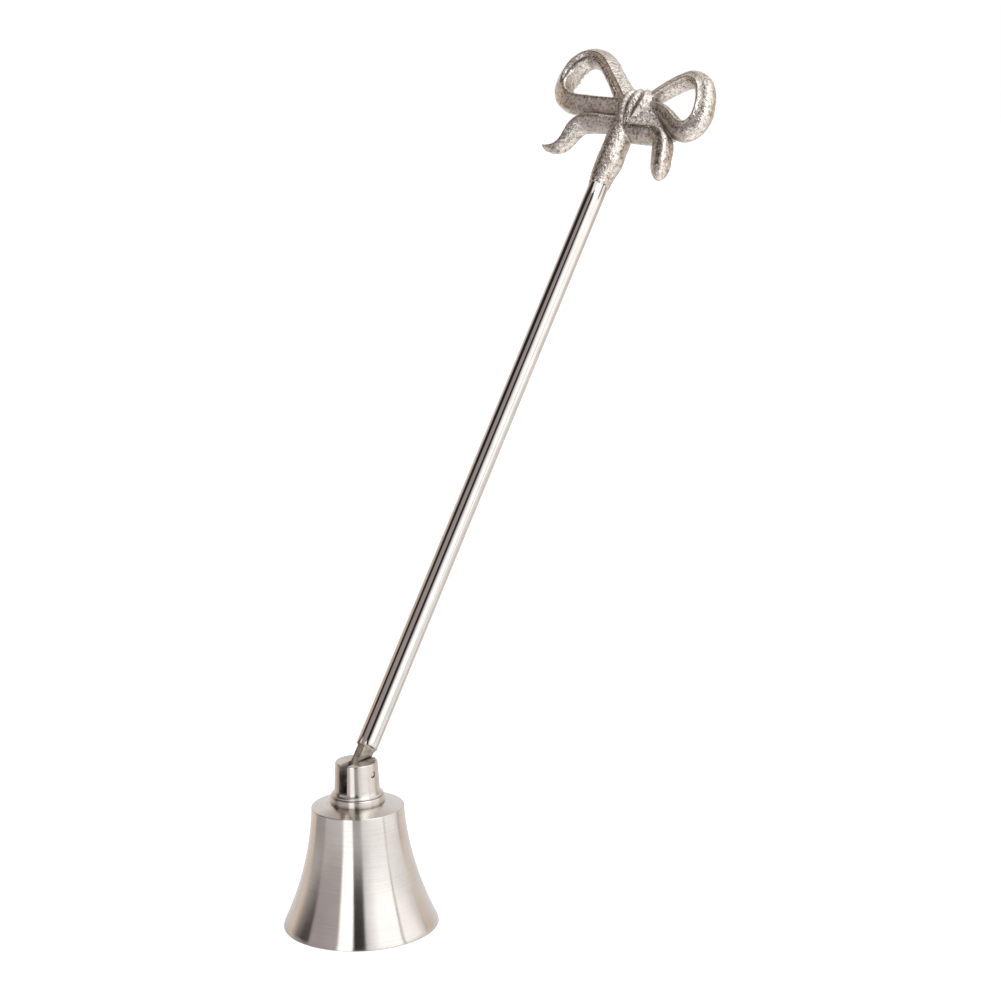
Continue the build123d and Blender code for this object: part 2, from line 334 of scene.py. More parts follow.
def catmull_rom(p0, p1, p2, p3, t):
    """Point at a share t of the smooth curve from p1 to p2."""
    return 0.5 * (
        2 * p1 + (p2 - p0) * t + (2 * p0 - 5 * p1 + 4 * p2 - p3) * t * t
        + (3 * p1 - p0 - 3 * p2 + p3) * t ** 3
    )


def smooth_line(points, step=0.45):
    """Points, in millimetres on the bow's plane, of a smooth curve through places in shares of the span."""
    points = [Vector(p) * BOW_SPAN for p in points]
    points = [points[0] * 2 - points[1]] + points + [points[-1] * 2 - points[-2]]
    out = []
    for p0, p1, p2, p3 in zip(points, points[1:], points[2:], points[3:]):
        count = max(2, int((p2 - p1).length / step))
        out += [catmull_rom(p0, p1, p2, p3, k / count) for k in range(count)]
    out.append(points[-2])
    for _ in range(8):
        eased = [(out[k - 1] + out[k] * 2 + out[k + 1]) / 4 for k in range(1, len(out) - 1)]
        out = [out[0]] + eased + [out[-1]]
    return out


def mix(stops, place):
    """Value at a place along a ribbon from (place, value) stops."""
    for (p0, v0), (p1, v1) in zip(stops, stops[1:]):
        if place <= p1:
            share = (place - p0) / (p1 - p0)
            share = share * share * (3 - 2 * share)
            return v0 + (v1 - v0) * share
    return stops[-1][1]


def closed_spline(points, steps):
    """Points of a smooth curve round a closed section."""
    out = []
    count = len(points)
    for k in range(count):
        p0, p1, p2, p3 = (Vector(points[(k + d) % count]) for d in (-1, 0, 1, 2))
        out += [catmull_rom(p0, p1, p2, p3, j / steps) for j in range(steps)]
    return out


# Sections of a ribbon, in shares of its width (first, towards the front) and of its thickness (second,
# towards the hole). All share the rounded back
BACK = [
    (-0.10, 0.50), (-0.34, 0.44), (-0.46, 0.25), (-0.49, 0.0), (-0.46, -0.25), (-0.34, -0.42), (-0.12, -0.50),
]

# A crest in the middle with a groove and a lip beside it
MIDDLE_CREST = [(0.505, -0.03), (0.44, 0.10), (0.365, 0.20), (0.385, 0.31), (0.35, 0.42), (0.20, 0.495)]
MIDDLE_CREST += BACK
MIDDLE_CREST += [(0.06, -0.49), (0.24, -0.37), (0.39, -0.20), (0.47, -0.10)]

# A crest near the hole
INNER_CREST = [(0.505, 0.25), (0.43, 0.39), (0.22, 0.49)]
INNER_CREST += BACK
INNER_CREST += [(0.09, -0.485), (0.25, -0.38), (0.355, -0.20), (0.40, 0.0), (0.46, 0.16)]

# The left loop's lower arm, point for point with MIDDLE_CREST: a lip at the hole and a flat face below it
LIP_CREST = [(0.42, 0.10), (0.465, 0.20), (0.49, 0.28), (0.50, 0.36), (0.42, 0.45), (0.22, 0.495)]
LIP_CREST += BACK
LIP_CREST += [(0.02, -0.49), (0.16, -0.38), (0.27, -0.20), (0.355, -0.04)]

# The tails: a crest with a flat beside it
LEFT_TAIL_CREST = [(0.505, 0.12), (0.485, 0.27), (0.41, 0.39), (0.22, 0.485)]
LEFT_TAIL_CREST += BACK
LEFT_TAIL_CREST += [(0.12, -0.47), (0.31, -0.34), (0.41, -0.16), (0.475, 0.0)]
RIGHT_TAIL_CREST = [(0.505, 0.16), (0.50, 0.28), (0.44, 0.39), (0.26, 0.475)]
RIGHT_TAIL_CREST += BACK
RIGHT_TAIL_CREST += [(0.08, -0.47), (0.26, -0.36), (0.38, -0.22), (0.46, -0.08), (0.495, 0.03)]
LATER_STARTS, LATER_ENDS = 0.46, 0.62


def ribbon(vertices, faces, line, thickness, width, lip_side, outline, later=None):
    """Adds one swept ribbon. Thickness and width are stops along the line, in millimetres.

    A later outline takes over about half way.
    """
    section = closed_spline(outline, 4)
    last_section = closed_spline(later or outline, 4)
    rings = []
    total = sum((b - a).length for a, b in zip(line, line[1:]))
    run = 0.0
    for k, point in enumerate(line):
        if k:
            run += (point - line[k - 1]).length
        place = run / total
        ahead = (line[min(k + 1, len(line) - 1)] - line[max(k - 1, 0)]).normalized()
        side = Vector((-ahead.y, ahead.x)) * lip_side
        thick, wide = mix(thickness, place), mix(width, place)
        ring = []
        change = mix([(0, 0), (LATER_STARTS, 0), (LATER_ENDS, 1), (1, 1)], place)
        for first, last in zip(section, last_section):
            front, out = first.lerp(last, change)
            flat = point + side * out * thick
            ring.append(len(vertices))
            vertices.append(bow_point(flat.x, flat.y, front * wide))
        rings.append(ring)
    count = len(section)
    for low, high in zip(rings, rings[1:]):
        for k in range(count):
            n = (k + 1) % count
            faces.append((low[k], low[n], high[n], high[k]))
    for ring, at_start in ((rings[0], True), (rings[-1], False)):
        middle = len(vertices)
        vertices.append(sum((vertices[i] for i in ring), Vector()) / count)
        for k in range(count):
            n = (k + 1) % count
            faces.append((ring[n], ring[k], middle) if at_start else (ring[k], ring[n], middle))


# Middle lines of the ribbons in shares of the span, across and along the rod from the knot
LEFT_LOOP = [
    (-0.02, 0.03), (-0.14, 0.188), (-0.345, 0.418), (-0.55, 0.625), (-0.735, 0.695), (-0.855, 0.66),
    (-0.962, 0.535), (-1.0, 0.341), (-0.957, 0.21), (-0.855, 0.12), (-0.72, 0.066), (-0.506, 0.046),
    (-0.08, 0.008), (0.05, 0.0),
]
RIGHT_LOOP = [
    (0.13, 0.05), (0.243, 0.155), (0.365, 0.262), (0.52, 0.365), (0.65, 0.402), (0.79, 0.335),
    (0.885, 0.165), (0.93, -0.04), (0.912, -0.18), (0.85, -0.258), (0.76, -0.272), (0.67, -0.228),
    (0.508, -0.092), (0.395, -0.028), (0.27, 0.005), (0.13, 0.02),
]
LEFT_TAIL = [
    (0.07, -0.205), (-0.184, -0.182), (-0.45, -0.168), (-0.56, -0.2), (-0.612, -0.285), (-0.645, -0.395),
    (-0.70, -0.475), (-0.80, -0.50), (-0.905, -0.49),
]
RIGHT_TAIL = [
    (0.07, -0.285), (0.25, -0.305), (0.43, -0.318), (0.53, -0.36), (0.585, -0.45), (0.63, -0.61),
    (0.68, -0.79), (0.705, -0.85),
]
bow_pieces = []


def add_ribbon(name, points, *args):
    vertices, faces = [], []
    ribbon(vertices, faces, smooth_line(points), *args)
    bow_pieces.append(new_object(name, vertices, faces))


def add_web(name, shares, back, front):
    """A plate of the casting between two depths, from corners in shares of the span.

    A list of fronts gives each corner its own.
    """
    count = len(shares)
    fronts = front if isinstance(front, list) else [front] * count
    vertices = []
    for depths in ([back] * count, fronts):
        vertices += [bow_point(a * BOW_SPAN, b * BOW_SPAN, depth) for (a, b), depth in zip(shares, depths)]
    bow_pieces.append(new_object(name, vertices, prism_faces(count)))


LEFT_THICK = [(0, 6.8), (0.22, 5.7), (0.42, 6.1), (0.6, 5.6), (0.8, 5.5), (1, 6.2)]
LEFT_WIDE = [(0, 5.8), (0.3, 6.9), (0.6, 7.1), (1, 5.2)]
RIGHT_THICK = [(0, 4.0), (0.2, 4.6), (0.45, 5.5), (0.7, 5.5), (1, 4.4)]
RIGHT_WIDE = [(0, 5.6), (0.3, 6.4), (0.7, 6.5), (1, 5.6)]
LEFT_TAIL_THICK = [(0, 5.4), (0.5, 5.2), (0.8, 3.5), (1, 0.8)]
LEFT_TAIL_WIDE = [(0, 4.2), (0.42, 6.7), (0.6, 6.4), (1, 3.6)]
RIGHT_TAIL_THICK = [(0, 5.2), (0.45, 5.8), (0.6, 6.5), (0.82, 6.1), (0.92, 4.8), (0.97, 3.4), (1, 1.4)]
RIGHT_TAIL_WIDE = [(0, 6.4), (0.6, 6.4), (0.88, 5.8), (0.96, 4.6), (1, 2.4)]
add_ribbon("left_loop", LEFT_LOOP, LEFT_THICK, LEFT_WIDE, 1, MIDDLE_CREST, LIP_CREST)
add_ribbon("right_loop", RIGHT_LOOP, RIGHT_THICK, RIGHT_WIDE, -1, INNER_CREST)
add_ribbon("left_tail", LEFT_TAIL, LEFT_TAIL_THICK, LEFT_TAIL_WIDE, -1, LEFT_TAIL_CREST)
add_ribbon("right_tail", RIGHT_TAIL, RIGHT_TAIL_THICK, RIGHT_TAIL_WIDE, 1, RIGHT_TAIL_CREST)

# Webs that fill the corners between the ribbons
CROTCH = [(0.0, 0.06), (-0.22, 0.08), (-0.25, 0.13), (-0.22, 0.2), (-0.1, 0.2)]
LEFT_WEB = [(0, 0.0), (-0.45, 0.0), (-0.54, -0.05), (-0.5, -0.11), (0, -0.11)]
RIGHT_WEB = [
    (0.12, 0.05), (0.3, 0.04), (0.5, -0.06), (0.68, -0.21), (0.66, -0.35), (0.5, -0.27), (0.12, -0.24),
]
RIGHT_WEB_FRONTS = [4.4, 2.5, 0.4, -0.6, -0.4, 0.6, 4.4]
CROTCH_BACK, CROTCH_FRONT, WEB_BACK, LEFT_WEB_FRONT = -2.4, 1.4, -2.6, -0.7
add_web("crotch", CROTCH, CROTCH_BACK, CROTCH_FRONT)
add_web("left_web", LEFT_WEB, WEB_BACK, LEFT_WEB_FRONT)
add_web("right_web", RIGHT_WEB, WEB_BACK, RIGHT_WEB_FRONTS)

# Flash of the mould at the back of the loops' holes: (across, along) in shares of the span, depth, radius
FLASH = [
    (-0.895, 0.44, -2.5, 0.75), (-0.915, 0.385, -2.4, 0.7), (-0.875, 0.5, -2.5, 0.6),
    (-0.84, 0.56, -2.5, 0.5), (0.82, 0.2, -2.4, 0.6),
]
BEAD_STEPS = 8
for across, along, depth, radius in FLASH:
    matrix = Matrix.Translation(bow_point(across * BOW_SPAN, along * BOW_SPAN, depth))
    turns = [pi * k / BEAD_STEPS for k in range(1, BEAD_STEPS)]
    bead = [(0, -radius)] + [(radius * sin(turn), -radius * cos(turn)) for turn in turns] + [(0, radius)]
    bow_pieces.append(lathe("flash", bead, 16, matrix))

# Stem: a cast sleeve round the rod's end, fuller on one side and with a ragged lower edge
stem_matrix = Matrix.Translation(PIN + ROD * ROD_LENGTH * MM) @ rod_matrix.to_3x3().to_4x4()
stem_profile = [
    (0, 0.4), (2.6, 0.2), (3.1, 0), (3.2, 0.7), (3.32, 1.6), (3.46, 2.8), (3.6, 4.0), (3.8, 5.5), (3.95, 7.5),
    (4.02, 9.0), (4.02, 11), (4.0, 14), (3.95, 17), (3.8, 20), (3.5, 22.5), (3.0, 24.5), (2.2, 26), (0, 26.5),
]
STEM_SHIFT, SHIFT_STARTS, SHIFT_RISE = 0.32, 3.0, 5.0
BULGE, BULGE_HEIGHT, BULGE_REACH, STEM_RADIUS = 0.5, 8.2, 3.6, 4.0
RAGGED_TOP, RAGGED_DEPTH, RAGGED_DROP = 1.0, 1.1, 0.35
stem = lathe("stem", stem_profile, 96)
for vertex in stem.data.vertices:
    x, y, z = vertex.co / MM
    rise = min(1.0, max(0.0, (z - SHIFT_STARTS) / SHIFT_RISE))
    shift = STEM_SHIFT * rise * rise * (3 - 2 * rise)
    side = max(0.0, x / STEM_RADIUS)
    bulge = max(0.0, 1 - ((z - BULGE_HEIGHT) / BULGE_REACH) ** 2)
    x += shift + BULGE * side * side * bulge
    if z < RAGGED_TOP:
        broad = noise.noise(Vector((x * 0.7, y * 0.7, 3.0)))
        narrow = noise.noise(Vector((x * 1.9, y * 1.9, 8.0)))
        z += RAGGED_DEPTH * (broad + 0.6 * narrow) - RAGGED_DROP
    vertex.co = Vector((x, y, z)) * MM
stem.data.transform(stem_matrix)
bow_pieces.append(stem)

# Knot: a wrapped band whose folds run down and gather at its foot
KNOT_ACROSS, KNOT_ALONG = 0.098 * BOW_SPAN, -0.012 * BOW_SPAN
KNOT_WIDE = [(-1, 0.9), (-0.5, 4.2), (0, 5.7), (0.35, 5.9), (1, 4.3)]
KNOT_FRONT, KNOT_BACK, KNOT_TOP, KNOT_FOOT, KNOT_SLANT = 5.2, 0.8, 6.7, 7.9, 0.35
GROOVE_DEPTH, GROOVE_NOTCH = 0.15, 0.06
KNOT_TURNS, KNOT_STEPS = 120, 90
# Each fold's place across the knot and its reach
FOLDS = [(-0.92, 0.22), (-0.48, 0.22), (0.08, 0.24), (0.66, 0.26)]


def fold_height(across, place, reach):
    off = abs(across - place)
    return 1 - (off / reach) ** 1.1 if off < reach else 0.0


knot_vertices, knot_faces = [], []
for j in range(KNOT_STEPS + 1):
    u = j / KNOT_STEPS * 2 - 1
    groove = 1 - max(fold_height(u, place, reach) for place, reach in FOLDS)
    bulge = 0.5 + 0.5 * sqrt(max(0.0, 1 - abs(u) ** 3))
    for k in range(KNOT_TURNS):
        turn = 2 * pi * k / KNOT_TURNS
        lift, front = sin(turn), cos(turn)
        depth = KNOT_FRONT * abs(front) ** 0.62 * (1 if front > 0 else -KNOT_BACK)
        depth *= bulge * (1 - GROOVE_DEPTH * groove)
        height = lift * (KNOT_TOP if lift > 0 else KNOT_FOOT)
        height *= (0.75 + 0.25 * bulge) * (1 - GROOVE_NOTCH * groove)
        sideways = u * mix(KNOT_WIDE, lift) + KNOT_SLANT * lift
        knot_vertices.append(bow_point(KNOT_ACROSS + sideways, KNOT_ALONG + height, depth))
for j in range(KNOT_STEPS):
    a, b = j * KNOT_TURNS, (j + 1) * KNOT_TURNS
    for k in range(KNOT_TURNS):
        n = (k + 1) % KNOT_TURNS
        knot_faces.append((a + k, a + n, b + n, b + k))
knot_faces.append(tuple(range(KNOT_TURNS - 1, -1, -1)))
knot_faces.append(tuple(range(KNOT_STEPS * KNOT_TURNS, (KNOT_STEPS + 1) * KNOT_TURNS)))
bow_pieces.append(new_object("knot", knot_vertices, knot_faces))

# The pieces are fused to one skin and eased
VOXEL = 0.2
joined = bmesh.new()
for piece in bow_pieces:
    face_outward(piece)
    joined.from_mesh(piece.data)
    bpy.data.objects.remove(piece)
bow_mesh = bpy.data.meshes.new("bow_cast")
joined.to_mesh(bow_mesh)
joined.free()
bow = bpy.data.objects.new("bow_cast", bow_mesh)
scene.collection.objects.link(bow)
remesh = bow.modifiers.new("fuse", "REMESH")
remesh.mode = "VOXEL"
remesh.voxel_size = VOXEL * MM
ease = bow.modifiers.new("ease", "SMOOTH")
ease.factor = 0.5
ease.iterations = 3
apply_modifiers(bow)

# Cast skin: soft waves, lumps and grain moved into the surface itself
WAVE, LUMP, GRAIN = 0.10, 0.06, 0.06
normals = [v.normal.copy() for v in bow.data.vertices]
for vertex, normal in zip(bow.data.vertices, normals):
    p = vertex.co / MM
    wave = noise.noise(p * 0.25) * WAVE
    lump = noise.noise(p * 0.8 + Vector((7, 3, 1))) * LUMP
    grain = noise.noise(p * 2.0 + Vector((2, 9, 4))) * GRAIN
    vertex.co += normal * (wave + lump + grain) * MM
bow.data.polygons.foreach_set("use_smooth", [True] * len(bow.data.polygons))
bow.data.update()
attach(bow, "handle")
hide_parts("bow_finial")


# Materials
BLACK, WHITE = (0, 0, 0), (1, 1, 1)


class Nodes:
    """Short names for building node trees."""

    def __init__(self, tree):
        self.tree = tree
        tree.nodes.clear()

    def fill(self, socket, value):
        """Links a socket to another one, or gives it a value of its own."""
        if isinstance(value, bpy.types.NodeSocket):
            self.tree.links.new(value, socket)
        else:
            socket.default_value = value

    def add(self, kind, **inputs):
        """A node with inputs by name, with _ for a space, or by number as i0, i1 and so on."""
        node = self.tree.nodes.new(kind)
        for key, value in inputs.items():
            numbered = key[0] == "i" and key[1:].isdigit()
            self.fill(node.inputs[int(key[1:]) if numbered else key.replace("_", " ")], value)
        return node

    def math(self, operation, a, b=0.0):
        node = self.tree.nodes.new("ShaderNodeMath")
        node.operation = operation
        for socket, value in zip(node.inputs, (a, b)):
            self.fill(socket, value)
        return node.outputs[0]

    def plus(self, a, b):
        return self.math("ADD", a, b)

    def times(self, a, b):
        return self.math("MULTIPLY", a, b)

    def ramp(self, share, stops):
        node = self.tree.nodes.new("ShaderNodeValToRGB")
        elements = node.color_ramp.elements
        while len(elements) < len(stops):
            elements.new(0.5)
        for element, (position, color) in zip(elements, stops):
            element.position = position
            element.color = (*color, 1)
        self.fill(node.inputs[0], share)
        return node.outputs[0]

    def noise(self, vector, scale, detail, roughness):
        node = self.add("ShaderNodeTexNoise", Vector=vector, Scale=scale, Detail=detail, Roughness=roughness)
        return node.outputs[0]

    def mixed(self, share, a, b):
        """A colour from a to b."""
        node = self.tree.nodes.new("ShaderNodeMix")
        node.data_type = "RGBA"
        self.fill(node.inputs[0], share)
        for key, color in ((6, a), (7, b)):
            self.fill(node.inputs[key], (*color, 1) if isinstance(color, tuple) else color)
        return node.outputs[2]

    def bump(self, height, strength, distance, normal=None):
        node = self.add("ShaderNodeBump", Strength=strength, Distance=distance, Height=height)
        if normal is not None:
            self.fill(node.inputs["Normal"], normal)
        return node.outputs[0]

    def openness(self, distance, low, high):
        """0 in recesses and 1 in the open, from ambient occlusion."""
        node = self.add("ShaderNodeAmbientOcclusion", Distance=distance)
        node.samples = 8
        return self.ramp(node.outputs["AO"], [(low, BLACK), (high, WHITE)])


def metal(name):
    mat = bpy.data.materials.new(name)
    mat.use_nodes = True
    nodes = Nodes(mat.node_tree)
    shader = nodes.add("ShaderNodeBsdfPrincipled", Metallic=1.0)
    nodes.add("ShaderNodeOutputMaterial", Surface=shader.outputs[0])
    place = nodes.add("ShaderNodeTexCoord").outputs["Object"]
    return mat, nodes, shader.inputs, place


def assign(obj, mat):
    obj.data.materials.clear()
    obj.data.materials.append(mat)


def turned_lines(nodes, place, slow, fast):
    """Places for lines that run round the bell's axis: slow round the turn, fast along the profile."""
    x, y, z = nodes.add("ShaderNodeSeparateXYZ", i0=place).outputs
    reach = nodes.math("SQRT", nodes.plus(nodes.times(x, x), nodes.times(y, y)))
    along = nodes.math("SUBTRACT", z, reach)
    vector = nodes.add(
        "ShaderNodeCombineXYZ", X=nodes.times(x, slow), Y=nodes.times(y, slow), Z=nodes.times(along, fast)
    )
    return vector.outputs[0]


def brushed_nickel(name, base, worn, recess, rough_low, rough_high, line_depth):
    mat, nodes, shader, place = metal(name)
    fine = nodes.noise(turned_lines(nodes, place, 45.0, 5200.0), 1.0, 3.0, 0.6)
    coarse = nodes.noise(turned_lines(nodes, place, 20.0, 1300.0), 1.0, 2.0, 0.5)
    short = nodes.noise(turned_lines(nodes, place, 900.0, 4200.0), 1.0, 2.0, 0.55)
    cloud = nodes.noise(place, 95.0, 3.0, 0.55)
    tone = nodes.plus(nodes.times(fine, 0.5), nodes.times(cloud, 0.5))
    color = nodes.ramp(tone, [(0.3, worn), (0.62, base)])
    # Painted shade: the colour turns to the recess colour where ambient occlusion finds a recess
    nodes.fill(shader["Base Color"], nodes.mixed(nodes.openness(0.003, 0.12, 0.8), recess, color))
    nodes.fill(shader["Roughness"], nodes.plus(nodes.times(fine, rough_high - rough_low), rough_low))
    nodes.fill(shader["Anisotropic"], 0.90)
    nodes.fill(shader["Anisotropic Rotation"], 0.25)
    tangent = nodes.add("ShaderNodeTangent")
    tangent.direction_type = "RADIAL"
    tangent.axis = "Z"
    nodes.fill(shader["Tangent"], tangent.outputs[0])
    lines = nodes.bump(nodes.plus(nodes.times(fine, 0.5), nodes.times(coarse, 0.5)), 1.0, line_depth)
    nodes.fill(shader["Normal"], nodes.bump(short, 1.0, line_depth * 2.2, lines))
    return mat


# The third colour of each is painted shade for its recesses; the post's is near black, for the shade in its
# slot
bell_metal = brushed_nickel(
    "brushed_nickel", (0.80, 0.77, 0.745), (0.68, 0.645, 0.615), (0.42, 0.37, 0.33), 0.12, 0.18, 0.0035 * MM
)
post_metal = brushed_nickel(
    "turned_nickel", (0.75, 0.71, 0.67), (0.66, 0.615, 0.57), (0.08, 0.06, 0.05), 0.20, 0.30, 0.0012 * MM
)
assign(bell, bell_metal)
for piece in (collar, post, pin):
    assign(piece, post_metal)


def polished_nickel():
    """The rod's metal, matt and brown where it is filed flat for the hinge, with painted shade darkening it
    near black in the tang's recesses.
    """
    mat, nodes, shader, place = metal("polished_nickel")
    along = nodes.add("ShaderNodeVectorMath", i0=place, i1=tuple(ROD))
    along.operation = "DOT_PRODUCT"
    distance = nodes.math("SUBTRACT", along.outputs["Value"], PIN.dot(ROD))
    filed = nodes.ramp(nodes.times(distance, 50.0), [(0.33, WHITE), (0.385, BLACK)])
    fine = nodes.noise(place, 900.0, 3.0, 0.6)
    cloud = nodes.noise(place, 140.0, 3.0, 0.5)
    clean = nodes.ramp(cloud, [(0.3, (0.74, 0.71, 0.69)), (0.7, (0.82, 0.79, 0.77))])
    filed_tone_and_shade = nodes.ramp(fine, [(0.3, (0.30, 0.26, 0.225)), (0.7, (0.56, 0.505, 0.45))])
    # Painted shade: the filed tang turns near black in its recesses, by ambient occlusion
    filed_tone_and_shade = nodes.mixed(nodes.openness(0.003, 0.15, 0.8), (0.07, 0.055, 0.045), filed_tone_and_shade)
    nodes.fill(shader["Base Color"], nodes.mixed(filed, clean, filed_tone_and_shade))
    rough = nodes.plus(nodes.times(cloud, 0.05), 0.05)
    nodes.fill(shader["Roughness"], nodes.plus(rough, nodes.times(filed, 0.28)))
    nodes.fill(shader["Normal"], nodes.bump(fine, 0.25, 0.01 * MM))
    return mat


def cast_nickel():
    """The bow's metal: warm grey and grainy, with painted shade darker in the recesses, and brighter on worn
    crests.
    """
    mat, nodes, shader, place = metal("cast_nickel")
    grain = nodes.noise(place, 1500.0, 3.0, 0.6)
    patch = nodes.noise(place, 420.0, 4.0, 0.6)
    speckle = nodes.noise(place, 1000.0, 4.0, 0.7)
    skin = nodes.ramp(
        nodes.plus(nodes.times(speckle, 0.8), nodes.times(patch, 0.2)),
        [(0.38, (0.30, 0.26, 0.225)), (0.47, (0.70, 0.64, 0.59)), (0.58, (0.90, 0.85, 0.80))],
    )
    # Painted shade: the colour darkens towards a brown grey in recesses, by ambient occlusion; the same share
    # also makes recesses rougher
    open_share = nodes.openness(0.009, 0.25, 0.94)
    shaded = nodes.mixed(open_share, (0.29, 0.24, 0.20), skin)
    pointed = nodes.add("ShaderNodeNewGeometry").outputs["Pointiness"]
    crest = nodes.ramp(pointed, [(0.5, BLACK), (0.57, WHITE)])
    nodes.fill(shader["Base Color"], nodes.mixed(nodes.times(crest, 0.5), shaded, (0.88, 0.84, 0.80)))
    rough = nodes.plus(nodes.times(grain, 0.14), 0.10)
    recess = nodes.times(nodes.math("SUBTRACT", 1.0, open_share), 0.3)
    nodes.fill(shader["Roughness"], nodes.plus(rough, recess))
    pits = nodes.bump(grain, 1.0, 0.2 * MM)
    nodes.fill(shader["Normal"], nodes.bump(patch, 0.5, 0.1 * MM, pits))
    return mat


def steel_hardware():
    mat, nodes, shader, place = metal("steel_hardware")
    fine = nodes.noise(place, 1500.0, 3.0, 0.6)
    color = nodes.ramp(fine, [(0.3, (0.40, 0.40, 0.41)), (0.7, (0.60, 0.60, 0.61))])
    nodes.fill(shader["Base Color"], color)
    nodes.fill(shader["Roughness"], nodes.plus(nodes.times(fine, 0.2), 0.28))
    nodes.fill(shader["Normal"], nodes.bump(fine, 0.3, 0.02 * MM))
    return mat


assign(rod, polished_nickel())
assign(bow, cast_nickel())

# Hidden hardware keeps its CAD shape
hardware = steel_hardware()
for name in ("crown_washer", "stud_nut"):
    assign(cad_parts[name], hardware)

# Camera at the photograph's viewing angle
VIEW_X, VIEW_Y = 0.790, 0.613
CAMERA_PLACE = Vector((-0.4383, -0.3914, 0.2331))
PITCH, ROLL = radians(11.15), radians(1.106)
camera_data = bpy.data.cameras.new("camera")
camera_data.sensor_width = 36
camera_data.lens = 80.92
camera_data.clip_start = 0.01
camera = bpy.data.objects.new("camera", camera_data)
scene.collection.objects.link(camera)
upright = Vector((0, 0, 1))
ahead = Vector((VIEW_X, VIEW_Y, 0)).normalized() * cos(PITCH) - upright * sin(PITCH)
right = ahead.cross(upright).normalized()
up = right.cross(ahead)
right, up = right * cos(ROLL) - up * sin(ROLL), up * cos(ROLL) + right * sin(ROLL)
camera_axes = Matrix((right, up, -ahead)).transposed().to_4x4()
camera.matrix_world = Matrix.Translation(CAMERA_PLACE) @ camera_axes
scene.camera = camera


# Stage: a pale floor, which keeps the shadow close to the object
def stage_nodes(obj, name):
    mat = bpy.data.materials.new(name)
    mat.use_nodes = True
    assign(obj, mat)
    return Nodes(mat.node_tree)


FLOOR = 6
floor_corners = [(-FLOOR, -FLOOR, 0), (FLOOR, -FLOOR, 0), (FLOOR, FLOOR, 0), (-FLOOR, FLOOR, 0)]
floor = new_object("floor", floor_corners, [(0, 1, 2, 3)])
nodes = stage_nodes(floor, "pale_floor")
path = nodes.add("ShaderNodeLightPath").outputs
seen = nodes.plus(nodes.times(path["Is Camera Ray"], 0.85), nodes.times(path["Is Glossy Ray"], 0.06))
diffuse = nodes.add("ShaderNodeBsdfDiffuse", Color=(0.42, 0.42, 0.42, 1))
glow = nodes.add("ShaderNodeEmission", Color=(1, 1, 1, 1), Strength=seen)
sheen = nodes.add("ShaderNodeBsdfGlossy", Color=nodes.times(path["Is Glossy Ray"], 0.55), Roughness=0.1)
both = nodes.add("ShaderNodeAddShader", i0=diffuse.outputs[0], i1=glow.outputs[0])
both = nodes.add("ShaderNodeAddShader", i0=both.outputs[0], i1=sheen.outputs[0])
nodes.add("ShaderNodeOutputMaterial", Surface=both.outputs[0])

# Studio cards: an open ring of pale, grey and dark cards round the table, which the metal mirrors
CARD_RADIUS, CARD_FOOT, CARD_TOP, CARD_STEPS = 0.9, 0.001, 2.6, 180
card_vertices, card_faces = [], []
for height in (CARD_FOOT, CARD_TOP):
    for k in range(CARD_STEPS):
        turn = 2 * pi * k / CARD_STEPS
        card_vertices.append((CARD_RADIUS * cos(turn), CARD_RADIUS * sin(turn), height))
for k in range(CARD_STEPS):
    n = (k + 1) % CARD_STEPS
    card_faces.append((k, n, CARD_STEPS + n, CARD_STEPS + k))
cards = new_object("studio_cards", card_vertices, card_faces)
cards.visible_camera = False
nodes = stage_nodes(cards, "studio_cards")
place = nodes.add("ShaderNodeTexCoord").outputs["Object"]
x, y, z = nodes.add("ShaderNodeSeparateXYZ", i0=place).outputs
camera_turn = atan2(-VIEW_Y, -VIEW_X)
toward = nodes.plus(nodes.times(x, cos(camera_turn)), nodes.times(y, sin(camera_turn)))
sideways = nodes.plus(nodes.times(x, -sin(camera_turn)), nodes.times(y, cos(camera_turn)))
around = nodes.plus(nodes.math("DIVIDE", nodes.math("ARCTAN2", sideways, toward), 2 * pi), 0.5)
up_share = nodes.math("DIVIDE", z, CARD_TOP)


def card_row(stops):
    """A row of cards from (degrees from the camera's side, colour) stops."""
    return nodes.ramp(around, [(degrees / 360 + 0.5, color) for degrees, color in stops])


def stacked(low, high, below, above):
    """One row below and another above, changing between two shares of the cards' height."""
    return nodes.mixed(nodes.ramp(up_share, [(low, BLACK), (high, WHITE)]), below, above)


# Cards by name
BACK_WALL, SIDE_WALL, LATE_WALL = (0.80, 0.79, 0.78), (0.74, 0.70, 0.66), (0.66, 0.63, 0.60)
LAMP_CARD, GREY_CARD, DARK_CARD = (1.7, 1.69, 1.67), (0.46, 0.42, 0.42), (0.02, 0.018, 0.018)
BLACK_CARD, DUSK_CARD, THIN_LINE = (0.01, 0.009, 0.009), (0.05, 0.047, 0.045), (0.04, 0.036, 0.032)

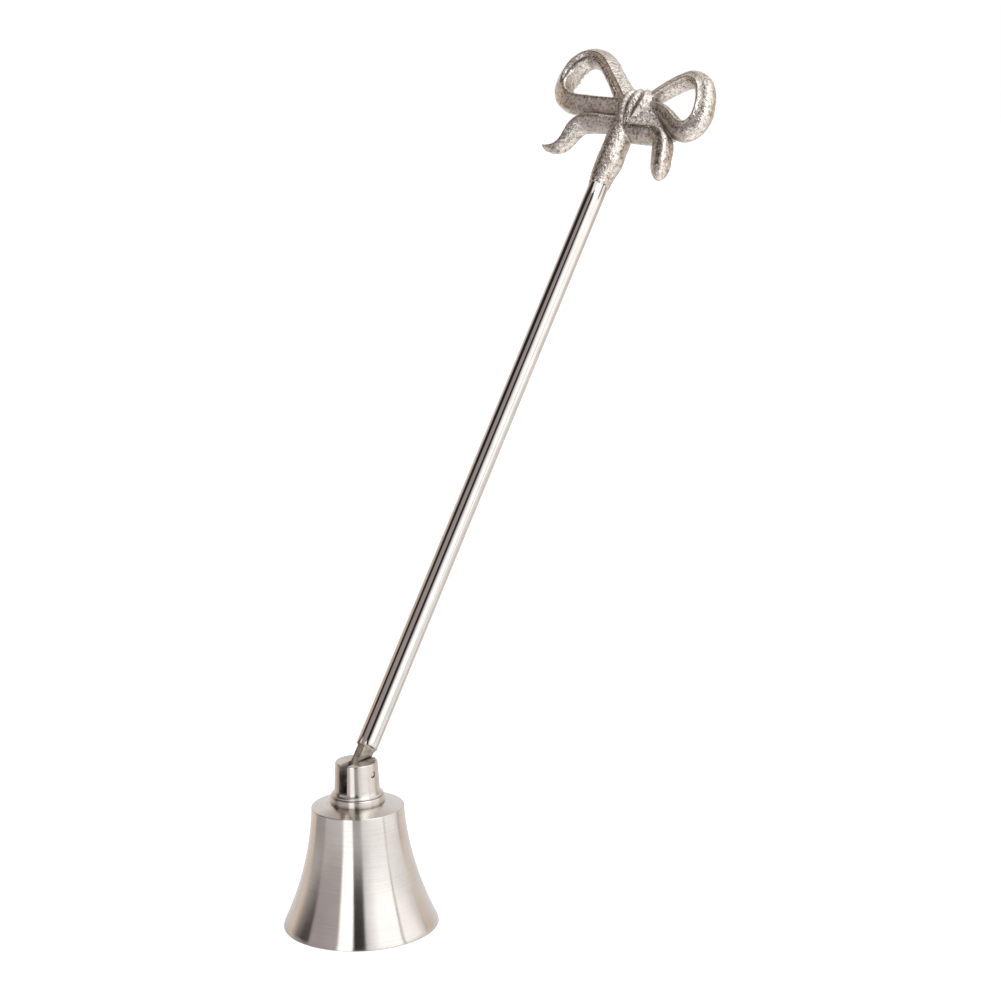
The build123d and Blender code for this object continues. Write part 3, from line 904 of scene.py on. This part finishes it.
# From the lamp card round the bright side to the last dark line, the low and middle rows are the same
BRIGHT_SIDE = [
    (-30, LAMP_CARD), (-11.5, LAMP_CARD), (-8.5, DARK_CARD), (7, DUSK_CARD), (12, (0.85, 0.83, 0.83)),
    (34, (1.4, 1.39, 1.38)), (65.5, (1.5, 1.49, 1.47)), (68, THIN_LINE), (70.5, (1.35, 1.33, 1.30)),
    (96, (1.2, 1.17, 1.14)), (111, (0.76, 0.70, 0.65)), (115, (0.05, 0.04, 0.035)),
]
foot_cards = card_row([
    (-180, BACK_WALL), (-150, SIDE_WALL), (-136, (0.66, 0.57, 0.48)), (-122, (0.70, 0.55, 0.42)),
    (-108, (0.36, 0.31, 0.29)), (-86, (0.24, 0.21, 0.205)), (-79, (0.42, 0.37, 0.36)),
    (-35, (0.47, 0.43, 0.43)), (-30, LAMP_CARD), (-11.5, LAMP_CARD), (-8.5, (0.36, 0.34, 0.335)),
    (8, (0.40, 0.385, 0.38)), (14, (0.74, 0.72, 0.72)), (34, (0.98, 0.97, 0.96)), (65.5, (1.1, 1.09, 1.07)),
    (68, (0.55, 0.53, 0.51)), (70.5, (0.95, 0.93, 0.91)), (108, (0.80, 0.77, 0.74)),
    (128, (0.70, 0.57, 0.45)), (140, LATE_WALL), (180, BACK_WALL),
])
low_cards = card_row([
    (-180, BACK_WALL), (-150, SIDE_WALL), (-138, (0.60, 0.51, 0.43)), (-127, (0.74, 0.50, 0.31)),
    (-120, (0.60, 0.41, 0.26)), (-116, BLACK_CARD), (-83, BLACK_CARD), (-79, (0.36, 0.315, 0.32)),
    (-35, GREY_CARD), *BRIGHT_SIDE, (120, (0.60, 0.40, 0.24)), (132, (0.76, 0.57, 0.41)),
    (141, LATE_WALL), (180, BACK_WALL),
])
middle_cards = card_row([
    (-180, BACK_WALL), (-150, SIDE_WALL), (-127, (0.66, 0.53, 0.42)), (-114, (0.55, 0.45, 0.37)),
    (-109, DARK_CARD), (-99, DARK_CARD), (-95, (0.98, 0.90, 0.85)), (-76, (0.90, 0.83, 0.79)),
    (-70, GREY_CARD), (-35, GREY_CARD), *BRIGHT_SIDE, (120, (0.60, 0.46, 0.34)), (132, (0.72, 0.60, 0.50)),
    (141, LATE_WALL), (180, BACK_WALL),
])
high_cards = card_row([
    (-180, (0.60, 0.53, 0.47)), (-150, (0.40, 0.33, 0.28)), (-126, (0.025, 0.022, 0.02)),
    (-90, (0.018, 0.016, 0.015)), (-82, (0.34, 0.295, 0.29)), (-22, (0.38, 0.335, 0.33)), (-14, DARK_CARD),
    (9, DARK_CARD), (20, (0.60, 0.57, 0.565)), (36, (1.1, 1.09, 1.08)), (52, (1.35, 1.34, 1.32)),
    (110, (1.2, 1.19, 1.17)), (150, (0.80, 0.78, 0.76)), (180, (0.60, 0.53, 0.47)),
])
card_color = stacked(0.028, 0.064, foot_cards, low_cards)
card_color = stacked(0.125, 0.15, card_color, middle_cards)
card_color = stacked(0.19, 0.283, card_color, high_cards)
glow = nodes.add("ShaderNodeEmission", Color=card_color, Strength=1.0)
nodes.add("ShaderNodeOutputMaterial", Surface=glow.outputs[0])

# White surround above the cards and behind the object
world = bpy.data.worlds.new("studio")
scene.world = world
world.use_nodes = True
nodes = Nodes(world.node_tree)
path = nodes.add("ShaderNodeLightPath").outputs
seen = nodes.math("MAXIMUM", path["Is Camera Ray"], path["Is Glossy Ray"])
strength = nodes.plus(nodes.times(seen, 0.2), 0.8)
background = nodes.add("ShaderNodeBackground", Color=(1, 1, 1, 1), Strength=strength)
nodes.add("ShaderNodeOutputWorld", Surface=background.outputs[0])

# Soft key light, large and plain, on the bright side
KEY_PLACE, KEY_AIM, KEY_SIZE = Vector((0.12, -0.7, 1.35)), Vector((0.06, 0, 0.1)), 0.8
key_data = bpy.data.lights.new("key", "AREA")
key_data.shape = "RECTANGLE"
key_data.size, key_data.size_y = KEY_SIZE, KEY_SIZE
key_data.energy = 3.0
key = bpy.data.objects.new("key", key_data)
key.location = KEY_PLACE
key.rotation_euler = (KEY_AIM - KEY_PLACE).to_track_quat("-Z", "Y").to_euler()
scene.collection.objects.link(key)

scene.view_settings.view_transform = "Standard"
